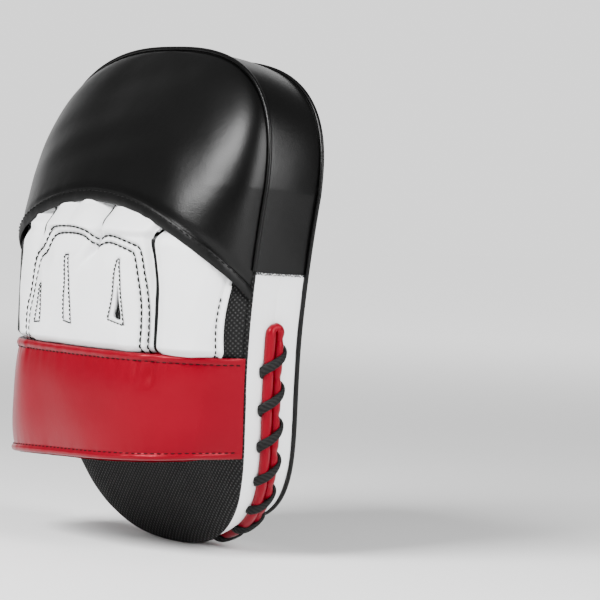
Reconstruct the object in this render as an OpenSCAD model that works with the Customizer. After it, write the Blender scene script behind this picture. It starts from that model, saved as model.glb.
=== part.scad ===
// Curved focus mitt for boxing, left hand: a laced foam pad with a padded glove on its back.
// Millimetres. +Z is up along the fingers, +Y is forward through the striking face,
// +X is the thumb side. The origin is where the middle of the palm rests on the pad's back.

/* [Pad] */
// Width of the pad at its widest
pad_w = 192; // [180:1:210]
// Length of the back above the palm centre, measured along the arch
pad_top = 131; // [120:1:140]
// Length of the back below the palm centre, measured along the arch
pad_bottom = 134; // [120:1:145]
// Thickness between the front and the back piping
pad_t = 34; // [30:1:42]
// Height above the palm centre where the pad is widest
widest = 60; // [50:1:70]
// Share of the width that the outline loses toward the bottom
taper = 0.2; // [0.1:0.01:0.4]
// Radius of the back's arch above the palm centre
arch_top = 800; // [500:10:1200]
// Radius of the back's arch below the palm centre
arch_bottom = 350; // [280:10:600]
// Height of the crown of the striking face over its seam
face_crown = 4.5; // [3:0.5:6]
// Thickness of the cover leather
leather = 1.4; // [1:0.1:2]

/* [Lacing] */
// Height of the join between the black and the white gusset
join_z = 18; // [10:1:25]
// Height of the upper ends of the laced slit
slit_z = -14; // [-25:1:-8]
// Diameter of one roll of the welt
welt_d = 5.4; // [4:0.2:6]
// Diameter of the lace
lace_d = 3.6; // [3:0.2:4]
// Turns of the lace around the welt
lace_turns = 16; // [12:1:18]

/* [Target] */
// Diameter of the target dot
dot_d = 54; // [40:1:70]
// Height of the target dot's centre
dot_z = 11; // [0:1:20]

/* [Hood] */
// Depth of the hood behind the pad at the level of the knuckles
hood_d = 50; // [46:1:54]
// Height of the hood's lower edge where it meets the pad's seam
hem_low = 4; // [2:1:8]
// Rise of the hood's lower edge over the back of the hand
hem_rise = 50; // [44:1:52]

/* [Glove] */
// Depth of the glove behind the pad
glove_d = 46; // [44:1:48]
// Half width of the glove on the little finger's side
glove_wl = 78; // [74:1:80]
// Half width of the glove on the thumb's side
glove_wr = 88; // [86:1:88]
// Outer diameter of a finger stall
stall_d = 25; // [24:0.5:26]
// Wall of a stall
stall_wall = 1.2; // [1:0.1:1.5]

/* [Wrist strap] */
// Height of the strap's upper edge
strap_top = -28; // [-30:1:-26]
// Height of the strap's lower edge at the little finger's side
strap_low = -92; // [-96:1:-84]
// Height of the strap's lower edge at the thumb's side
strap_low_thumb = -79; // [-84:1:-72]
// Sideways place of the seam that the strap swings on
hinge_x = 80; // [78:1:82]
// Depth of the seam that the strap swings on
hinge_y = -5; // [-6:0.5:-4]

/* [Hidden] */

half_w = pad_w / 2;
gap = 0.2;                      // clearance between pieces that lie on each other
top_power = 2 / 2.6;            // the outline's upper half is a superellipse
bottom_power = 1 / 2.4;         // how roundly the outline closes at the bottom
bottom_square = 6.5;            // how late the outline closes at the bottom
blunt = 0.996;                  // outlines stop this share of the way to their ends, which stay blunt
rows = 44;                      // samples along an outline
rim_rows = 40;                  // samples around half of the rim
foam_inset = 2;                 // room inside the gusset for the front and the back foam
slit_inset = 7;                 // room inside the gusset for the lace's inner run
middle_h = -pad_t / 2;          // depth of the middle of the gusset
slit_half = welt_d + 0.2;       // half width of the slit between the two white gussets
stitch_inset = 7;               // distance of the face's stitching from its edge
rad = 180 / PI;

// ---------- surfaces ----------

// A point of the pad from its sideways place x, its length s along the arch, and its height h
// over the back surface. Negative h is inside the pad.
function on_pad(x, s, h) =
    let (r = s < 0 ? arch_bottom : arch_top, angle = s / r * rad)
    [x, r - (r + h) * cos(angle), (r + h) * sin(angle)];

// The back surface's own y at a height z
function back_y(z) = let (r = z < 0 ? arch_bottom : arch_top) r - sqrt(r * r - z * z);

// Place [half width, length along the arch] on the outline, for q from -1 (bottom) to 1 (top)
function outline(q, inset = 0) =
    let (w = half_w - inset, up = pad_top - inset - widest, down = widest + pad_bottom - inset)
    q >= 0
    ? [w * pow(max(cos(90 * q), 0), top_power), widest + up * pow(sin(90 * q), top_power)]
    : let (t = sin(-90 * q), close = pow(1 - pow(t, bottom_square), bottom_power))
      [w * (1 - taper * t) * close, widest - down * t];

// The outline's parameter q at a length s below the widest place
function q_at(s) = -asin((widest - s) / (widest + pad_bottom)) / 90;

// A place on the rim: p runs from -1 to 1 across the top or the bottom, between two ends at q_end
function rim(p, q_end, inset = 0) =
    let (tip = q_end[1], q = tip + (q_end[0] - tip) * abs(p), e = outline(q, inset))
    [sign(p) * e[0], e[1]];

top_rim = [q_at(join_z), 1];
bottom_rim = [q_at(join_z), -1];
slit_rim = [q_at(slit_z), -1];

// Height of the striking face's crown, for u from -1 to 1 across and q from -1 to 1 along the pad
function crown(u, q) = face_crown * (1 - pow(abs(u), 4)) * (1 - pow(abs(q), 6));

// A superellipse arch over the pad's back at height z. The angle a runs from 0 at the thumb's side
// to 180 at the little finger's side.
function arch_point(a, z, wl, wr, d) =
    let (power = a > 90 ? 2 / 3 : 2 / 2.3, w = a > 90 ? -wl : wr, y0 = back_y(z))
    [w * pow(abs(cos(a)), power), y0 - (d + y0) * pow(max(sin(a), 0), power), z];

// ---------- solids from surfaces ----------

function grid(f, nu, nv, w) = [for (j = [0 : nv], i = [0 : nu]) f(i / nu, j / nv, w)];

// A closed solid between the surfaces f(u, v, 0) and f(u, v, 1), with u and v from 0 to 1
module sheet(f, nu, nv) {
    m = nu + 1;
    n = m * (nv + 1);
    corners = [for (j = [0 : nv - 1], i = [0 : nu - 1]) let (k = j * m + i) [k, k + 1, k + m + 1, k + m]];
    rim_points = concat(
        [for (i = [0 : nu - 1]) i], [for (j = [0 : nv - 1]) j * m + nu],
        [for (i = [nu : -1 : 1]) nv * m + i], [for (j = [nv : -1 : 1]) j * m]);
    walls = [for (k = [0 : len(rim_points) - 1])
        let (a = rim_points[k], b = rim_points[(k + 1) % len(rim_points)]) [a, a + n, b + n, b]];
    halves = function (quads) [for (c = quads) each [[c[0], c[1], c[2]], [c[0], c[2], c[3]]]];
    lower = [for (c = corners) [c[3], c[2], c[1], c[0]]];
    upper = [for (c = corners) [c[0] + n, c[1] + n, c[2] + n, c[3] + n]];
    turned = [for (c = walls) [c[3], c[2], c[1], c[0]]];
    polyhedron(concat(grid(f, nu, nv, 0), grid(f, nu, nv, 1)), halves(concat(lower, upper, turned)));
}

function unit(v) = v / norm(v);

// A tube of radius r along a path, with flat ends or closed into a ring
module tube(path, r, sides = 6, ring = false) {
    n = len(path);
    ahead = function (k) path[ring ? (k + 1) % n : min(k + 1, n - 1)];
    behind = function (k) path[ring ? (k + n - 1) % n : max(k - 1, 0)];
    points = [for (k = [0 : n - 1])
        let (t = unit(ahead(k) - behind(k)),
             across = abs(t[1]) < 0.9 ? [0, 1, 0] : [1, 0, 0],
             a = unit(cross(t, across)),
             b = cross(t, a))
        for (i = [0 : sides - 1]) path[k] + r * (a * cos(360 * i / sides) + b * sin(360 * i / sides))];
    last = ring ? n - 1 : n - 2;
    walls = [for (k = [0 : last], i = [0 : sides - 1])
        let (k2 = (k + 1) % n, i2 = (i + 1) % sides,
             c = [k * sides + i, k * sides + i2, k2 * sides + i2, k2 * sides + i])
        each [[c[0], c[2], c[1]], [c[0], c[3], c[2]]]];
    ends = ring ? [] : [[for (i = [0 : sides - 1]) i], [for (i = [sides - 1 : -1 : 0]) (n - 1) * sides + i]];
    polyhedron(points, concat(walls, ends));
}

// ---------- the pad ----------

// A flat layer of the pad between two depths
module pad_layer(inset, h_back, h_front) {
    sheet(function (u, v, w)
        let (e = outline(blunt * (2 * v - 1), inset))
        on_pad((2 * u - 1) * e[0], e[1], w == 0 ? h_back : h_front), 1, rows);
}

// A layer whose front follows the crown of the striking face
module crowned_layer(inset, h_back, h_front, back_crown) {
    sheet(function (u, v, w)
        let (q = blunt * (2 * v - 1), e = outline(q, inset), c = crown(2 * u - 1, q))
        on_pad((2 * u - 1) * e[0], e[1], w == 0 ? h_back - c * back_crown : h_front - c), 8, 28);
}

module face_cover() {
    color("dimgray") crowned_layer(0, -pad_t - gap, -pad_t - gap - leather, 1);
}

// A place on the striking face, at a length s along the arch
function on_face(x, s, h) =
    let (q = s < widest ? q_at(s) : asin(pow((s - widest) / (pad_top - widest), 1 / top_power)) / 90)
    on_pad(x, s, -pad_t - gap - leather - crown(x / outline(q)[0], q) - h);

module target_dot() {
    r = dot_d / 2;
    color("silver") sheet(function (u, v, w)
        let (s = -blunt * r * cos(180 * v))
        on_face((2 * u - 1) * sqrt(r * r - s * s), dot_z + s, w == 0 ? gap : gap + 0.6), 8, 16);
}

// A closed path along the outline
function loop_path(inset, h, n) = [for (k = [0 : n - 1])
    let (turn = 2 * k / n, right = turn < 1,
         q = right ? 2 * turn - 1 : 3 - 2 * turn, e = outline(q, inset))
    on_pad(right ? e[0] : -e[0], e[1], h)];

module face_stitching() {
    thread = 0.6;
    n = 64;
    color("gray") tube([for (k = [0 : n - 1])
        let (turn = 2 * k / n, right = turn < 1,
             q = right ? 2 * turn - 1 : 3 - 2 * turn, e = outline(q, stitch_inset))
        on_face(right ? e[0] : -e[0], e[1], thread + gap)], thread, 4, true);
}

piping_d = 2.8;
module piping(h) {
    color("dimgray") tube(loop_path(-piping_d / 2 - gap, h, 72), piping_d / 2, 6, true);
}

module front_piping() {
    piping(-pad_t);
}

module back_piping() {
    piping(0);
}

// A strip of the side wall along the part of the rim between two ends. It reaches from the depth
// h_inner(s), at the length s along the arch, to the depth h_outer.
module gusset(ends, h_inner, h_outer) {
    sheet(function (u, v, w)
        let (e = rim(0.995 * (2 * u - 1), ends, w == 0 ? leather : 0), h = h_inner(e[1]))
        on_pad(e[0], e[1], h + (h_outer - h) * v), rim_rows, 1);
}

// The edge of a white gusset: at the middle above the slit, and beside the welt along it
function slit_edge(s, side) = middle_h + side * (s > slit_z + 2 * welt_d ? gap : slit_half);

module upper_gusset() {
    color("dimgray") gusset(top_rim, function (s) -leather - gap, gap - pad_t);
}

module lower_gusset_front() {
    color("white") gusset(bottom_rim, function (s) slit_edge(s, -1), gap - pad_t);
}

module lower_gusset_back() {
    color("white") gusset(bottom_rim, function (s) slit_edge(s, 1), -leather - gap);
}

// One red roll on each edge of the slit, joined by a half turn at both ends
module lace_welt() {
    r = welt_d / 2;
    n = 44;
    out = -1;
    side = function (h, dir) [for (k = [0 : n]) let (e = rim(dir * (2 * k / n - 1), slit_rim, out))
        on_pad(e[0], e[1], h)];
    turn_place = function (p, dir, angle) let (e = rim(p, slit_rim, out))
        on_pad(e[0], e[1] + r * sin(angle), middle_h + dir * r * cos(angle));
    color("crimson") tube(concat(
        side(middle_h + r, 1), [for (a = [45 : 45 : 135]) turn_place(1, 1, a)],
        side(middle_h - r, -1), [for (a = [45 : 45 : 135]) turn_place(-1, -1, a)]), r - 0.05, 8, true);
}

module lace() {
    per_turn = 10;
    n = lace_turns * per_turn;
    across = welt_d + lace_d / 2 + 0.2;
    over = welt_d / 2 + lace_d / 2 + 0.5;
    color("black") tube([for (k = [0 : n])
        let (a = 360 * k / per_turn - 90, e = rim(0.97 * (2 * k / n - 1), slit_rim, -1 - over * sin(a)))
        on_pad(e[0], e[1], middle_h - across * cos(a))], lace_d / 2, 6);
}

shock_back = -pad_t * 0.26;
shock_front = -pad_t * 0.74;

module strike_foam() {
    color("gold") crowned_layer(foam_inset, shock_front - gap, gap - pad_t, 0);
}

module shock_foam() {
    color("khaki") pad_layer(slit_inset, shock_back, shock_front);
}

module back_foam() {
    color("lightgray") pad_layer(foam_inset, -leather - gap, shock_back + gap);
}

module back_panel() {
    color("dimgray") pad_layer(0, 0, -leather);
}

// ---------- the hood ----------

hood_inset = 3;         // distance of the hood's foot from the pad's edge
hood_w = half_w - hood_inset;
hood_t = 2;

hood_tip = pad_top - 5;         // height of the hood's upper edge

// Depth of the hood's crest at height z, off millimetres under its outside
hood_full_z = 20;               // height over the palm centre where the hood starts to close
function hood_depth(z, off) =
    let (t = (z - hood_full_z) / (hood_tip - hood_full_z))
    (hood_d - hood_t) * (1 - pow(max(t, 0), 1.4)) + 1.2 * hood_t - off;

// Half width of the hood at height z, off millimetres under its outside
function hood_half(z, off) =
    let (up = hood_tip + 1 - widest,
         t = max(z - widest, 0) / up,
         w = z < widest ? outline(q_at(z))[0] : half_w)
    (w - hood_inset - off) * pow(max(1 - pow(t, 2.6), 0), 1 / 2.6);

// Height of the hood's lower edge at the angle a across from the thumb's side
function hem_z(a) = hem_low + hem_rise * (1 - pow(abs(a - 90) / 90, 1.7));

// A point of the hood: a across from the thumb's side, v from the hem up to the tip
function hood_point(a, v, off) =
    let (z = hem_z(a) + (hood_tip - hem_z(a)) * pow(v, 0.8),
         w = hood_half(z, off), d = hood_depth(z, off))
    [w * pow(abs(cos(a)), 0.9) * sign(cos(a)),
     back_y(z) - 0.4 - d * pow(max(sin(a), 0), 0.85), z];

module finger_hood() {
    color("dimgray") sheet(function (u, v, w) hood_point(180 * (1 - u), v, w == 0 ? hood_t : 0), 24, 10);
}

// The turned edge of the hood, which stands below it
module hood_hem() {
    hem_h = 6;
    color("black") sheet(function (u, v, w)
        hood_point(180 * (1 - u), 0, w == 0 ? hood_t : -0.6) - [0, 0, gap + hem_h * (1 - v)], 24, 1);
}

// ---------- the glove ----------

// A point of the glove's surface, off millimetres under its outside
function glove_point(a, z, off) = arch_point(a, z, glove_wl - off, glove_wr - off, glove_d - off);

// A patch of the glove between two angles, from the strap up to a height or to the hood's hem
module glove_patch(a1, a2, z_low, z_high, off, t, nu, nv) {
    sheet(function (u, v, w)
        let (a = a2 + (a1 - a2) * u, top = min(z_high, hem_z(a) - 12))
        glove_point(a, z_low + (top - z_low) * v, w == 0 ? off + t : off), nu, nv);
}

glove_low = strap_top + 0.5;
knuckle_z = 36;
panel_t = 2.5;
hem_t = 3.2;
thumb_split = 44;       // angle of the seam between the knuckle panel and the thumb panel
thumb_edge = 13;        // angle of the thumb panel's bound edge
pinky_split = 158;      // angle of the seam on the little finger's side
vent_a = 62;            // angle of the teardrop vent
vent_w = 5;             // width of the teardrop vent
glove_top = 60;         // height of the glove's side pieces under the hood

module knuckle_panel() {
    color("white") difference() {
        glove_patch(thumb_split, pinky_split, glove_low, knuckle_z, 0, panel_t, 16, 4);
        vent_cut();
    }
}

// The teardrop vent over the knuckles, pointed at the top
module vent_cut() {
    place = glove_point(vent_a, 0, 0);
    foot = -14;
    neck = 4;
    tip = 10;
    through = 12;
    translate([place[0], place[1] + through / 2, 0])
    rotate([90, 0, 0])
    linear_extrude(through)
    polygon([[-vent_w / 2, foot], [vent_w / 2, foot], [vent_w / 5, neck], [0, tip], [-vent_w / 5, neck]]);
}

module vent_mesh() {
    color("black") glove_patch(vent_a - 6, vent_a + 6, -20, 18, panel_t + 0.15, 0.3, 2, 2);
}

module thumb_panel() {
    color("white") glove_patch(thumb_edge + 2, thumb_split - 1, glove_low, glove_top, 0, panel_t, 8, 3);
}

module thumb_panel_hem() {
    color("white") glove_patch(thumb_edge - 2, thumb_edge + 1.6, glove_low, glove_top, -0.3, hem_t, 1, 4);
}

module side_mesh() {
    color("black") glove_patch(2, thumb_edge - 2.4, glove_low, glove_top, 1, 1, 2, 3);
}

module pinky_side_panel() {
    color("dimgray") glove_patch(pinky_split + 0.6, 177.5, glove_low, glove_top, 0, panel_t, 4, 3);
}

module glove_lining() {
    color("whitesmoke") glove_patch(2, 177.5, glove_low, glove_top, panel_t + 0.5, 1.2, 24, 4);
}

module palm_lining() {
    color("black") sheet(function (u, v, w)
        let (z = -60 + 90 * v) [-40 + 98 * u, back_y(z) - gap - (w == 0 ? 0 : 1.2), z], 1, 8);
}

// A finger stall: a round-tipped sleeve from a mouth up to a tip, leaning toward the pad
module stall(x, z_mouth, z_tip, d, lean, y_mouth) {
    r = d / 2;
    length = z_tip - z_mouth - r;
    translate([x, y_mouth, z_mouth])
    rotate([lean, 0, 0])
    difference() {
        union() {
            cylinder(r = r, h = length, $fn = 48);
            translate([0, 0, length]) sphere(r = r, $fn = 48);
        }
        translate([0, 0, -1]) cylinder(r = r - stall_wall, h = length + 1, $fn = 48);
        translate([0, 0, length]) sphere(r = r - stall_wall, $fn = 48);
    }
}

finger_pitch = 27;      // distance between the fingers
finger_z = 37;          // height of the finger stalls' mouths
finger_y = -22;         // depth of the finger stalls' mouths
finger_lean = -11;
middle_x = 5;           // sideways place of the middle finger

module finger(place, z_tip) {
    color("white")
    stall(middle_x + place * finger_pitch, finger_z, z_tip, stall_d, finger_lean, finger_y);
}

module pinky_stall() {
    finger(-2, 66);
}

module ring_stall() {
    finger(-1, 77);
}

module middle_stall() {
    finger(0, 79);
}

module index_stall() {
    finger(1, 76);
}

module thumb_stall() {
    color("white") stall(60, -22, 30, 24, 0, -14.5);
}

// ---------- the wrist strap ----------

strap_r = 164;          // distance of the strap's wall on the little finger's side from the hinge
strap_t = 8;
strap_crest = -49;      // depth of the strap's outside over the back of the hand

// The strap's section: a uniform cubic B-spline over a few hand-chosen corners
strap_wall = hinge_x - strap_r;
strap_corners = [[hinge_x + 3, 18], [hinge_x - 1, -6], [hinge_x - 12, -32], [hinge_x - 40, strap_crest],
    [-6, strap_crest - 1], [-42, strap_crest - 1], [strap_wall + 18, -39], [strap_wall, -22], [strap_wall, -6],
    [strap_wall, 4]];

function spline(points, t) =
    let (n = len(points) - 3,
         k = max(min(floor(t * n), n - 1), 0),
         f = t * n - k,
         f2 = f * f,
         f3 = f2 * f)
    (pow(1 - f, 3) * points[k] + (3 * f3 - 6 * f2 + 4) * points[k + 1]
     + (3 * f2 + 3 * f + 1 - 3 * f3) * points[k + 2] + f3 * points[k + 3]) / 6;

// The direction along a spline
function heading(points, t) = unit(spline(points, t + 0.01) - spline(points, t - 0.01));

// A point of the strap: t runs from the thumb's side, v up from the lower edge, off under the outside
function strap_point(t, v, off) =
    let (along = heading(strap_corners, t),
         place = spline(strap_corners, t) + off * [along[1], -along[0]],
         low = strap_low_thumb + (strap_low - strap_low_thumb) * t)
    [place[0], place[1], low + (strap_top - low) * v];

module strap_layer(t1, t2, v1, v2, off, thick, nu, nv) {
    sheet(function (u, v, w)
        strap_point(t2 + (t1 - t2) * u, v1 + (v2 - v1) * v, w == 0 ? off + thick : off), nu, nv);
}

strap_start = 0.01;     // where the swinging part of the strap begins
strap_stop = 0.97;      // where its free end lies
strap_rows = 26;
hem_share = 0.09;       // share of the strap's height that each rolled edge takes
hem_gap = 0.005;
skin_t = 1.3;
lining_t = 1.2;
padding_t = strap_t - skin_t - lining_t - 1.1;

module strap_shell() {
    color("crimson")
    strap_layer(strap_start, strap_stop, hem_share, 1 - hem_share, 0, skin_t, strap_rows, 1);
}

// A layer under the strap's shell, a little shorter than the shell
module inner_layer(off, thick) {
    strap_layer(strap_start + 0.02, strap_stop - 0.02, hem_share, 1 - hem_share, off, thick, strap_rows, 1);
}

module strap_padding() {
    color("khaki") inner_layer(skin_t + gap / 2, padding_t);
}

module strap_lining() {
    color("black") inner_layer(skin_t + padding_t + gap, lining_t);
}

// One rolled edge of the strap, between two heights
module strap_hem(v1, v2) {
    color("crimson") strap_layer(strap_start, strap_stop, v1, v2, 0, strap_t - 1, strap_rows, 1);
}

module strap_hem_top() {
    strap_hem(1 - hem_share + hem_gap, 1);
}

module strap_hem_bottom() {
    strap_hem(0, hem_share - hem_gap);
}

module strap_hook_patch() {
    color("black") strap_layer(0.78, strap_stop - 0.03, 0.15, 0.85, strap_t - 0.7, lining_t, 8, 1);
}

// The tab that the strap closes on: its foot lies on the pad's back and its wall stands inside the strap
tab_corners = [[-30, 0], [-46, 0], [-62, 0], [-72, 0], [-71.5, -11], [-68, -21], [-61, -31]];
tab_low = strap_low + 12;
tab_high = strap_top - 6;
tab_bend = 12;          // depth over which the tab's foot leaves the pad's back

// A point of the tab: t runs from its foot to its free end, v up, off inward
function tab_point(t, v, off) =
    let (along = heading(tab_corners, t),
         here = spline(tab_corners, t),
         place = here + off * [-along[1], along[0]],
         z = tab_low + (tab_high - tab_low) * v,
         fade = max(1 + here[1] / tab_bend, 0))
    [place[0], place[1] + (back_y(z) - gap) * fade, z];

module strap_tab() {
    color("black")
    sheet(function (u, v, w) tab_point(0.99 * u + 0.005, v, w == 0 ? leather : 0), 14, 4);
}

module strap_loop_patch() {
    color("black")
    sheet(function (u, v, w) tab_point(0.66 + 0.33 * u, 0.08 + 0.84 * v, w == 0 ? -gap : -1), 6, 4);
}

// The sewn root of the strap, between the pad's edge and the seam that the strap swings on
anchor_w = 4;           // least width of the strap's sewn root
anchor_t = 1.6;
anchor_low = strap_low_thumb + 1;
anchor_high = strap_top - 1;
module strap_anchor() {
    color("crimson") sheet(function (u, v, w)
        let (z = anchor_low + (anchor_high - anchor_low) * v,
             edge = outline(q_at(z))[0] - 1,
             inner = min(hinge_x - 9, edge - anchor_w))
        [edge + (inner - edge) * u, back_y(z) - gap - (w == 0 ? 0 : anchor_t), z], 1, 6);
}

face_cover();
target_dot();
face_stitching();
front_piping();
back_piping();
upper_gusset();
lower_gusset_front();
lower_gusset_back();
lace_welt();
lace();
strike_foam();
shock_foam();
back_foam();
back_panel();
finger_hood();
hood_hem();
pinky_stall();
ring_stall();
middle_stall();
index_stall();
thumb_stall();
knuckle_panel();
vent_mesh();
thumb_panel();
thumb_panel_hem();
side_mesh();
pinky_side_panel();
glove_lining();
palm_lining();
strap_anchor();
strap_shell();
strap_padding();
strap_lining();
strap_hem_top();
strap_hem_bottom();
strap_hook_patch();
strap_tab();
strap_loop_patch();
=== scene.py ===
"""The looks of a curved focus mitt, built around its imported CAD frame.

Lengths are in millimetres until a mesh is made, and MM turns them into Blender's metres. A place on the
pad is [x, s, h]: sideways, along the arch of its back, and over its back. A place on the glove is (m, z):
the length around it from its crest, and the height. A place on the strap is (t, v), as shares of its
length from the thumb's seam and of its height.
"""

import math

import bpy
import numpy as np
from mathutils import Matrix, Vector


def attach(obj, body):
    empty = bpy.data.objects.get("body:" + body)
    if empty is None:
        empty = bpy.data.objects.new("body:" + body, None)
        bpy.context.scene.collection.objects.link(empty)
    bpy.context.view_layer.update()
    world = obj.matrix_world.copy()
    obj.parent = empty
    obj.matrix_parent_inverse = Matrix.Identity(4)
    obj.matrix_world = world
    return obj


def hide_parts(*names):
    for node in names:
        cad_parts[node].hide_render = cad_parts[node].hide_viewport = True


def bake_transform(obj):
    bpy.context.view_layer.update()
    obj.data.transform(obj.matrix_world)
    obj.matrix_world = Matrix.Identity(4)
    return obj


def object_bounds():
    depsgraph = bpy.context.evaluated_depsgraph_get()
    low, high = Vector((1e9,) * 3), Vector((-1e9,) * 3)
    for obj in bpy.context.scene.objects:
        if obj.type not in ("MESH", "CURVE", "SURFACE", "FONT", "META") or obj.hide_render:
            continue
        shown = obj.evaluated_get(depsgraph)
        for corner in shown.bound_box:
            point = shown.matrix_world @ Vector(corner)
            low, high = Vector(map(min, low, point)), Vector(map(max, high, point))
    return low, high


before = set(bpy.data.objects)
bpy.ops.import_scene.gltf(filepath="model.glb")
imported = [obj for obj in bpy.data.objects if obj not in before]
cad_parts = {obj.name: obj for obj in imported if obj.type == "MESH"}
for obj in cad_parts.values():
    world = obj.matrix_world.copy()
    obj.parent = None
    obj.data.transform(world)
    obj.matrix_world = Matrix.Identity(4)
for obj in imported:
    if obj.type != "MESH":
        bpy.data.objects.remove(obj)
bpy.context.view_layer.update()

MM = 0.001

# ---------- dimensions of the design, in millimetres ----------

HALF_W = 96
PAD_TOP = 131
PAD_BOTTOM = 134
PAD_T = 34
WIDEST = 60
TAPER = 0.2
TOP_POWER = 2 / 2.6
LOW_POWER = 1 / 2.4
LOW_SQUARE = 6.5
ARCH_TOP = 800
ARCH_BOTTOM = 350
JOIN_Z = 18
SLIT_Z = -14
WELT_R = 2.7
LACE_TURNS = 16
LACE_SPAN = 0.97
LACE_W = 5.0
LACE_H = 2.6
LACE_REACH = 6.6
LACE_RISE = 4.0
MIDDLE_H = -PAD_T / 2
DOT_R = 27
DOT_Z = 11

HOOD_D = 50
HOOD_TIP = PAD_TOP - 1.2
HOOD_INSET = 0.1
HOOD_FULL_Z = 20
HOOD_CLOSE = 2.6
HOOD_ROUND_X = 0.9
HOOD_ROUND_Y = 0.85
HEM_TOP = 54
HEM_FALL = 42
HEM_CREST = 3
HEM_H = 7

GLOVE_D = 48
GLOVE_WL = 82
GLOVE_WR = 88

STRAP_TOP = -27
STRAP_LOW = -92
STRAP_LOW_THUMB = -79
HINGE = (80, -5)
STRAP_WALL = HINGE[0] - 164
STRAP_CREST = -49
STRAP_T = 7
STRAP_END = 0.97


# ---------- shapes shared by several pieces ----------

def smooth(x):
    """0 below 0, 1 above 1, and a smooth rise between."""
    x = np.clip(x, 0, 1)
    return x * x * (3 - 2 * x)


def bell(x, width):
    """A bump of height 1 at x = 0."""
    return np.exp(-((x / width) ** 2))


def waves(x, y, scale, seed=0.0):
    """A smooth, repeatable unevenness between about -1 and 1, with features about scale long."""
    k = 2 * math.pi / scale
    long_a = np.sin(k * (0.61 * x + 0.79 * y) + 1.3 + seed)
    long_b = np.sin(k * (0.93 * x - 0.36 * y) + 4.1 + 2 * seed)
    short_a = np.sin(1.7 * k * (0.28 * x + 0.96 * y) + 2.2 + 3 * seed)
    short_b = np.sin(1.9 * k * (-0.8 * x + 0.6 * y) + seed)
    return (long_a + long_b + 0.6 * (short_a + short_b)) / 3.2


def travelled(points):
    """The length travelled along a path, at each of its points."""
    return np.concatenate([[0], np.cumsum(np.linalg.norm(np.diff(points, axis=0), axis=1))])


def resampled(points, count, endpoint=True):
    """Even samples along a path."""
    run = travelled(points)
    even = np.linspace(0, run[-1], count, endpoint=endpoint)
    return np.stack([np.interp(even, run, column) for column in points.T], 1)


def unit(v):
    """Vectors of length 1, along the last axis."""
    return v / np.maximum(np.linalg.norm(v, axis=-1)[..., None], 1e-9)


def outline(q):
    """Half width and place along the arch of the pad's outline, for q from -1 (bottom) to 1 (top)."""
    q = np.asarray(q, float)
    up = np.clip(q, 0, 1) * math.pi / 2
    t = np.sin(np.clip(-q, 0, 1) * math.pi / 2)
    top_w = HALF_W * np.clip(np.cos(up), 0, 1) ** TOP_POWER
    top_s = WIDEST + (PAD_TOP - WIDEST) * np.sin(up) ** TOP_POWER
    low_w = HALF_W * (1 - TAPER * t) * np.clip(1 - t ** LOW_SQUARE, 0, 1) ** LOW_POWER
    low_s = WIDEST - (WIDEST + PAD_BOTTOM) * t
    return np.where(q >= 0, top_w, low_w), np.where(q >= 0, top_s, low_s)


LOOP_SAMPLES = 1600


def make_loop():
    """The whole outline as a dense loop by arc length: from the bottom up the thumb's side and back."""
    w, s = outline(np.linspace(-1, 1, 1201))
    x = np.concatenate([w, -w[-2:0:-1]])
    s = np.concatenate([s, s[-2:0:-1]])
    closed = np.stack([np.append(x, x[0]), np.append(s, s[0])], 1)
    loop = resampled(closed, LOOP_SAMPLES, endpoint=False)
    tangent = unit(np.roll(loop, -4, 0) - np.roll(loop, 4, 0))
    normal = np.stack([tangent[:, 1], -tangent[:, 0]], 1)
    return loop, normal, travelled(closed)[-1]


LOOP, LOOP_NORMAL, LOOP_LENGTH = make_loop()


def edge(t, out=0.0):
    """A place [x, s] on the pad's outline at the share t of its length, moved outward by out."""
    t = np.asarray(t, float) % 1.0
    k = np.arange(len(LOOP) + 1) / len(LOOP)

    def coordinate(i):
        place_i = np.interp(t, k, np.append(LOOP[:, i], LOOP[0, i]))
        return place_i + out * np.interp(t, k, np.append(LOOP_NORMAL[:, i], LOOP_NORMAL[0, i]))
    return coordinate(0), coordinate(1)


def edge_share(s):
    """The share of the outline's length at which its thumb side passes the height s."""
    half = len(LOOP) // 2
    return np.interp(s, LOOP[:half, 1], np.arange(half) / len(LOOP))


def on_pad(x, s, h):
    """A point at a sideways place x, a length s along the arch and a height h over the pad's back."""
    x, s, h = np.broadcast_arrays(np.asarray(x, float), s, h)
    r = np.where(s < 0, ARCH_BOTTOM, ARCH_TOP)
    a = s / r
    return np.stack([x, r - (r + h) * np.cos(a), (r + h) * np.sin(a)], -1)


def rim_point(t, h, out):
    """A point of the pad's rim at the share t and the height h, out from the edge, and its way outward."""
    here = on_pad(*edge(t, out), h)
    return here, on_pad(*edge(t, out + 1), h) - here


def back_y(z):
    """The y of the pad's back at the height z."""
    r = np.where(np.asarray(z) < 0, ARCH_BOTTOM, ARCH_TOP)
    return r - np.sqrt(r * r - z * z)


def half_width(z):
    """The pad's half width at a height z."""
    q = np.linspace(-1, 1, 801)
    w, s = outline(q)
    return np.interp(z, s, w)


def hem_z(m):
    """Height of the hood's lower edge at the length m from the glove's crest."""
    run = m - HEM_CREST
    thumb_side = run > 0
    reach = np.where(thumb_side, THUMB_FOOT - HEM_CREST, HEM_CREST - PINKY_FOOT)
    share = np.clip(np.abs(run) / reach, 0, 1.05)
    return HEM_TOP - HEM_FALL * share ** np.where(thumb_side, 2.05, 1.8)


def glove_arch(a, z):
    """The plain arch of the glove at the angle a from the thumb's side and the height z."""
    a, z = np.broadcast_arrays(np.asarray(a, float), z)
    c, s = np.cos(a), np.clip(np.sin(a), 0, 1)
    pinky_side = a > math.pi / 2
    power = np.where(pinky_side, 2 / 3, 2 / 2.3)
    reach = np.where(pinky_side, -GLOVE_WL, GLOVE_WR)
    y0 = back_y(z)
    return np.stack([reach * np.abs(c) ** power, y0 - (GLOVE_D + y0) * s ** power, z], -1)


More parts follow.
